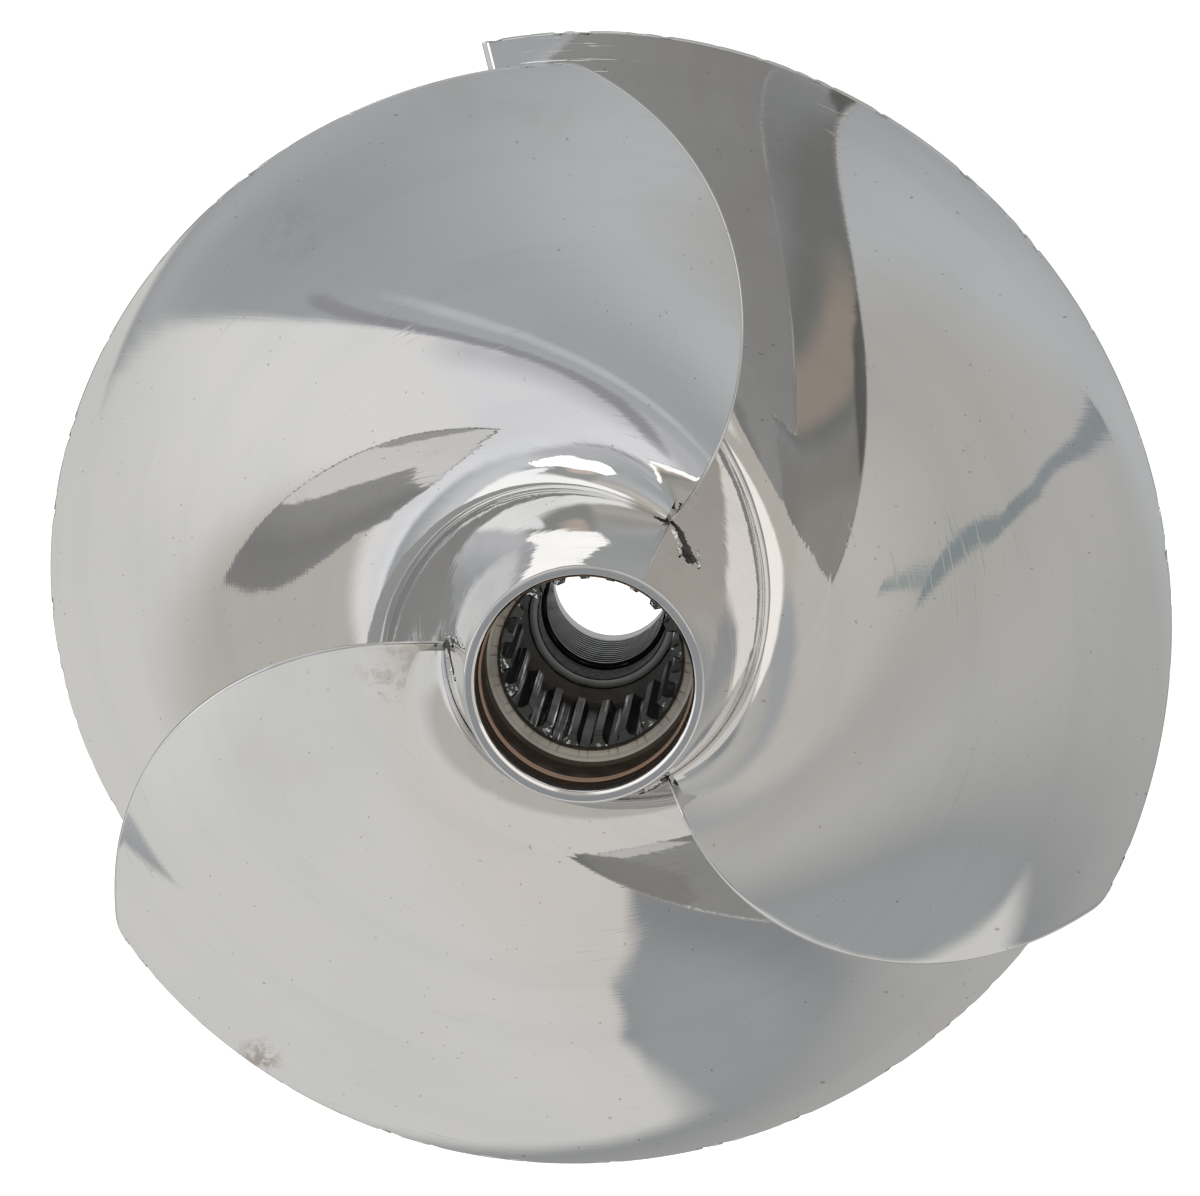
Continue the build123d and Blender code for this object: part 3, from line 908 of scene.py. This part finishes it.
pale, g = new_material("pale_floor")
glow = g.put("ShaderNodeEmission", {"Color": rgb(1, 1, 1), "Strength": 1.0})
matte = g.put("ShaderNodeBsdfDiffuse", {"Color": rgb(0.5, 0.5, 0.5)})
both = g.put("ShaderNodeAddShader", {0: glow.outputs[0], 1: matte.outputs[0]})
g.put("ShaderNodeOutputMaterial", {"Surface": both.outputs[0]})
grey, g = new_material("grey_table")
x, y, z = g.put("ShaderNodeSeparateXYZ", {0: g.put("ShaderNodeTexCoord").outputs["Object"]}).outputs
away = g.math("SQRT", g.math("ADD", g.math("MULTIPLY", x, x), g.math("MULTIPLY", y, y)))
glow = g.put("ShaderNodeEmission", {"Color": rgb(1, 1, 1), "Strength": g.ramp(away, 0.10, 0.14, 0.27, 0.15)})
matte = g.put("ShaderNodeBsdfDiffuse", {"Color": rgb(0.35, 0.35, 0.352)})
both = g.put("ShaderNodeAddShader", {0: glow.outputs[0], 1: matte.outputs[0]})
g.put("ShaderNodeOutputMaterial", {"Surface": both.outputs[0]})
lamp, g = new_material("bore_light")
glow = g.put("ShaderNodeEmission", {"Color": rgb(1, 1, 1), "Strength": 0.85})
g.put("ShaderNodeOutputMaterial", {"Surface": glow.outputs[0]})

floor = disc("floor", 3.0, -0.0004, pale)
floor.visible_diffuse = floor.visible_glossy = floor.visible_shadow = False
table = disc("table", 3.0, -0.0008, grey)
table.visible_camera = False
glowing = disc("bore_glow", 0.0135, -0.0002, lamp)
glowing.visible_camera = False


def card(name, corners, strength):
    """A pale card that is seen only in the polished surfaces."""
    paper, g = new_material(name)
    light = g.put("ShaderNodeEmission", {"Color": rgb(1, 0.99, 0.98), "Strength": strength})
    g.put("ShaderNodeOutputMaterial", {"Surface": light.outputs[0]})
    mesh = bpy.data.meshes.new(name)
    mesh.from_pydata([(x * MM, y * MM, z * MM) for x, y, z in corners], [], [tuple(range(len(corners)))])
    mesh.materials.append(paper)
    made = bpy.data.objects.new(name, mesh)
    bpy.context.scene.collection.objects.link(made)
    made.visible_camera = made.visible_diffuse = made.visible_shadow = False


card("card_west", ((-108, -59, -0.6), (-66, -59, -0.6), (-66, -14, -0.6), (-108, -14, -0.6)), 1.05)
card("card_east", ((52, -84, -0.6), (104, -84, -0.6), (104, -53, -0.6), (52, -53, -0.6)), 0.85)
# the lit part of a window to the west, as (y, z)
WINDOW = ((-28, 145), (10, 145), (76, 205), (110, 262), (60, 280), (12, 252), (-6, 215), (-28, 200))
card("card_window", [(-255, y, z) for y, z in WINDOW], 1.7)

world = bpy.data.worlds.new("studio")
bpy.context.scene.world = world
world.use_nodes = True
g = Graph(world.node_tree)
direction = g.put("ShaderNodeTexCoord").outputs["Generated"]
x, y, z = g.put("ShaderNodeSeparateXYZ", {0: direction}).outputs
# east and north are a direction's angles from the zenith, in degrees
flat = g.math("SQRT", g.math("ADD", g.math("ADD", g.math("MULTIPLY", x, x), g.math("MULTIPLY", y, y)), 1e-8))
polar = g.math("MULTIPLY", g.math("ARCTAN2", flat, z), 180 / math.pi)
scale = g.math("DIVIDE", polar, flat)
east = g.math("MULTIPLY", x, scale)
north = g.math("MULTIPLY", y, scale)


def beyond(px, py, nx, ny, soft):
    """0 to 1 across a line through (px, py) in degrees from the zenith, towards (nx, ny)."""
    over_x = g.math("MULTIPLY", g.math("SUBTRACT", east, px), nx)
    over_y = g.math("MULTIPLY", g.math("SUBTRACT", north, py), ny)
    along = g.math("ADD", over_x, over_y)
    return g.ramp(along, -soft, soft)


def around(px, py, wide, high, turn, soft):
    """1 inside an ellipse, falling to 0 outside it."""
    c, s = math.cos(math.radians(turn)), math.sin(math.radians(turn))
    dx, dy = g.math("SUBTRACT", east, px), g.math("SUBTRACT", north, py)
    u = g.math("DIVIDE", g.math("ADD", g.math("MULTIPLY", dx, c), g.math("MULTIPLY", dy, s)), wide)
    v = g.math("DIVIDE", g.math("SUBTRACT", g.math("MULTIPLY", dy, c), g.math("MULTIPLY", dx, s)), high)
    far = g.math("SQRT", g.math("ADD", g.math("MULTIPLY", u, u), g.math("MULTIPLY", v, v)))
    return g.ramp(far, 1 + soft, 1 - soft)


def near_path(points, half, soft):
    """1 along a path of straight stretches, falling to 0 beside it."""
    nearest = None
    for (ax, ay), (bx, by) in zip(points, points[1:]):
        dx, dy = bx - ax, by - ay
        size = dx * dx + dy * dy
        run = g.math("ADD", g.math("MULTIPLY", east, dx / size), g.math("MULTIPLY", north, dy / size))
        share = g.math("SUBTRACT", run, (ax * dx + ay * dy) / size, clamp=True)
        gap_x = g.math("SUBTRACT", g.math("SUBTRACT", east, ax), g.math("MULTIPLY", share, dx))
        gap_y = g.math("SUBTRACT", g.math("SUBTRACT", north, ay), g.math("MULTIPLY", share, dy))
        squares = g.math("ADD", g.math("MULTIPLY", gap_x, gap_x), g.math("MULTIPLY", gap_y, gap_y))
        gap = g.math("SQRT", squares)
        nearest = gap if nearest is None else g.math("MINIMUM", nearest, gap)
    return g.ramp(nearest, half + soft, half)


# a grey ceiling, paler towards the north and the west
sky = g.mix(beyond(0, 4, 0, 1, 17), rgb(0.33, 0.34, 0.355), rgb(0.55, 0.545, 0.53))
sky = g.mix(around(50, -2, 12, 12, 0, 0.5), sky, rgb(0.31, 0.32, 0.33))
west = g.mix(around(-34, -20, 14, 30, 20, 0.9), rgb(0.575, 0.595, 0.61), rgb(0.415, 0.435, 0.455))
sky = g.mix(beyond(-13, 0, -1, 0, 6), sky, west)
sky = g.mix(beyond(0, 26, 0.0, 1, 6), sky, rgb(0.525, 0.515, 0.49))
sky = g.mix(beyond(0, 40, 0.0, 1, 5), sky, rgb(0.63, 0.605, 0.575))
north_east = g.math("MULTIPLY", beyond(0, 36, 0, 1, 4), beyond(14, 0, 1, 0, 7))
sky = g.mix(north_east, sky, rgb(0.45, 0.46, 0.47))
sky = g.mix(around(38, -14, 11, 12, 0, 0.5), sky, rgb(0.40, 0.42, 0.43))
low_north = g.math("MULTIPLY", beyond(0, 58, 0, 1, 3), beyond(-34, 0, 1, 0, 6))
sky = g.mix(low_north, sky, rgb(0.58, 0.545, 0.50))
low_east = g.math("MULTIPLY", beyond(19, 0, 1, 0, 4), beyond(0, 16, 0, 1, 5))
low_east = g.math("MULTIPLY", g.ramp(polar, 63, 68), low_east)
sky = g.mix(low_east, sky, rgb(1.16, 1.11, 1.05))
# a dark wall low in the west with a warm patch, and a thin dark rail across the north
west_wall = g.math("MULTIPLY", beyond(-51, 0, -1, 0, 3), beyond(0, -4, 0, 1, 4))
sky = g.mix(west_wall, sky, rgb(0.40, 0.41, 0.40))
sky = g.mix(around(-58, 14, 4.5, 9, -10, 0.4), sky, rgb(0.70, 0.61, 0.54))
RAIL_HOOK = ((-10, 43), (2, 37))
RAIL_MIDDLE = ((2, 37), (7, 31), (5, 28))
RAIL_FAR = ((5, 28), (-5, 21), (-14, 16))
sky = g.mix(near_path(RAIL_HOOK, 0.1, 0.6), sky, rgb(0.36, 0.40, 0.40))
sky = g.mix(near_path(RAIL_MIDDLE, 0.6, 0.8), sky, rgb(0.29, 0.33, 0.34))
sky = g.mix(near_path(RAIL_FAR, 0.35, 0.6), sky, rgb(0.31, 0.34, 0.36))
# the large soft light to the south, with the ceiling's corner cut out of it
corner = g.math("MULTIPLY", beyond(28.5, -5, 0.95, 0.312, 1.2), beyond(39, -25.5, -0.1, 0.995, 1.0))
corner = g.math("MULTIPLY", corner, beyond(42.8, -23.7, -0.735, 0.678, 1.0))
lit = g.math("MULTIPLY", beyond(-5, -23, 0.473, -0.881, 3.5), g.math("SUBTRACT", 1.0, corner))
lit = g.math("MULTIPLY", lit, beyond(-12, 0, 1, 0, 1.2))
lit = g.math("MAXIMUM", lit, beyond(-42, -22.3, -0.504, -0.864, 0.9))
south = g.mix(beyond(-28, 0, 1, 0, 14), rgb(0.885, 0.88, 0.875), rgb(0.775, 0.77, 0.75))
south = g.mix(beyond(36, 0, 1, 0, 12), south, rgb(0.76, 0.725, 0.69))
low_south = g.math("MULTIPLY", beyond(0, -56, 0, -1, 5), beyond(-30, 0, 1, 0, 9))
south = g.mix(low_south, south, rgb(0.57, 0.545, 0.51))
# beside the light, a violet-grey curtain that pales downwards, with a dark hem
curtain = g.mix(beyond(0, -26, 0, -1, 7), rgb(0.58, 0.58, 0.615), rgb(0.86, 0.86, 0.89))
south = g.mix(beyond(-47.3, 0, -1, 0, 0.8), south, curtain)
sky = g.mix(lit, sky, south)
HEM = ((-43, -18.5), (-48.5, -18.5), (-56, -25))
sky = g.mix(g.math("MULTIPLY", near_path(HEM, 0.6, 1.3), 0.92), sky, rgb(0.34, 0.34, 0.375))
sky = g.mix(g.math("MULTIPLY", around(-47, -12, 2.0, 1.5, -30, 0.6), 0.55), sky, rgb(0.70, 0.71, 0.74))
# bright walls low in the west
south_west = g.math("MULTIPLY", beyond(-55, 0, -1, 0, 3), beyond(0, -25, 0, -1, 4))
sky = g.mix(south_west, sky, rgb(0.90, 0.91, 0.94))
sky = g.mix(around(-77, 3.5, 9.5, 8, 0, 0.15), sky, rgb(1.22, 1.22, 1.24))
horizon = g.math("MULTIPLY", g.ramp(polar, 70, 76), beyond(-34, 30, -0.9, 0.43, 8))
sky = g.mix(horizon, sky, rgb(1.25, 1.25, 1.25))
# a shaded stretch of that wall in the south-west, and everything below the horizon
shade = g.mix(beyond(0, -36, 0, -1, 18), rgb(0.75, 0.76, 0.79), rgb(0.44, 0.46, 0.48))
sky = g.mix(g.math("MULTIPLY", beyond(-63, 0, -1, 0, 3), beyond(0, -9, 0, -1, 5)), sky, shade)
sky = g.mix(g.ramp(polar, 92, 96), sky, rgb(0.36, 0.36, 0.36))
seen = g.put("ShaderNodeLightPath").outputs["Is Camera Ray"]
sky = g.mix(seen, sky, rgb(1, 1, 1))
backdrop = g.put("ShaderNodeBackground", {"Color": sky, "Strength": 1.0})
g.put("ShaderNodeOutputWorld", {"Surface": backdrop.outputs[0]})

camera = bpy.data.objects.new("camera", bpy.data.cameras.new("camera"))
bpy.context.scene.collection.objects.link(camera)
# the camera looks from its place to its aim, with +Y upright in the picture
place, aim = Vector((46.98, 173.93, 982.66)), Vector((-0.18, 3.22, 39.13))
back = (place - aim).normalized()
right = Vector((0, 1, 0)).cross(back).normalized()
up = back.cross(right)
camera.matrix_world = Matrix.Translation(place * MM) @ Matrix((right, up, back)).transposed().to_4x4()
camera.data.sensor_width = 36.0
camera.data.lens = 209.91
camera.data.clip_start, camera.data.clip_end = 0.05, 10.0
bpy.context.scene.camera = camera
bpy.context.scene.view_settings.view_transform = "Standard"
